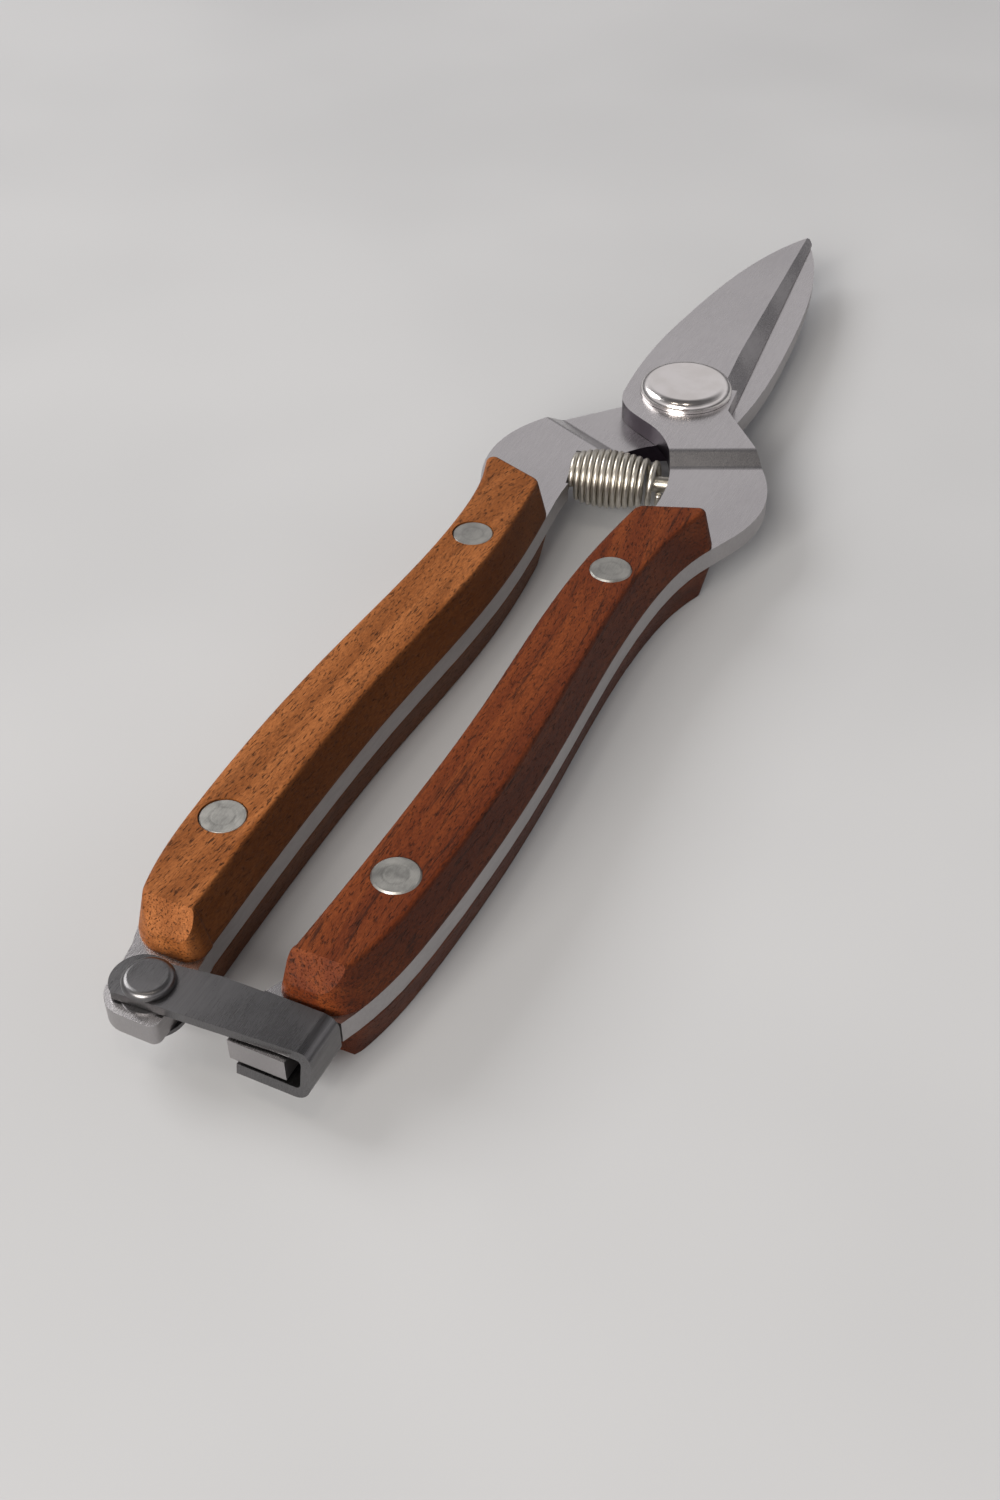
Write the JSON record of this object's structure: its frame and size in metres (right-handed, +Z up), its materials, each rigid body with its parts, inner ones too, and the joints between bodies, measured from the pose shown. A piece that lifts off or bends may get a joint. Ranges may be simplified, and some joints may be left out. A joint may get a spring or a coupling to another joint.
{
  "type": "pruning shears",
  "caption": "Straight-bladed snips with wooden scales riveted to flat steel tangs, a coil spring between the necks and a hook latch that closes the handle ends.",
  "frame": {"origin": "middle of the closed shears' footprint, on the surface that they lie on", "axes": "+Y towards the blade tips, +X towards the handle whose blade passes on top, +Z up out of the flat of the blades"},
  "size_m": [0.0386, 0.1848, 0.0134],
  "materials": {
    "blade_steel": "satin ground stainless steel",
    "polished_steel": "polished",
    "spring_wire": "bright drawn wire",
    "latch_steel": "satin, darker than the blades",
    "rivet_steel": "dull, flush ground",
    "red_wood": "oiled, dark streaks",
    "brown_wood": "oiled, open pores"
  },
  "bodies": {
    "left_half": {"lower_blade": "blade_steel", "left_scale_top": "brown_wood", "left_scale_bottom": "brown_wood", "left_front_rivet_top": "rivet_steel", "left_front_rivet_bottom": "rivet_steel", "left_rear_rivet_top": "rivet_steel", "left_rear_rivet_bottom": "rivet_steel", "pivot_bolt": "polished_steel", "pivot_washer": "polished_steel", "pivot_nut": "polished_steel", "spring": "spring_wire", "spring_peg_left": "spring_wire", "latch_washer": "latch_steel", "latch_rivet": "latch_steel", "latch_tail_washer": "latch_steel"},
    "right_half": {"upper_blade": "blade_steel", "right_scale_top": "red_wood", "right_scale_bottom": "red_wood", "right_front_rivet_top": "rivet_steel", "right_front_rivet_bottom": "rivet_steel", "right_rear_rivet_top": "rivet_steel", "right_rear_rivet_bottom": "rivet_steel", "spring_peg_right": "spring_wire"},
    "latch_arm": {"latch": "latch_steel"}
  },
  "joints": [
    {"name": "handles_open", "type": "hinge", "parent": "left_half", "child": "right_half", "pos_m": [0, 0.0354, 0.0066], "axis": [0, 0, 1], "range_deg": [0, 27], "deforming": ["spring"]},
    {"name": "latch_swing", "type": "hinge", "parent": "left_half", "child": "latch_arm", "pos_m": [-0.0067, -0.0886, 0.0087], "axis": [0, 0, -1], "range_deg": [0, 180]}
  ]
}
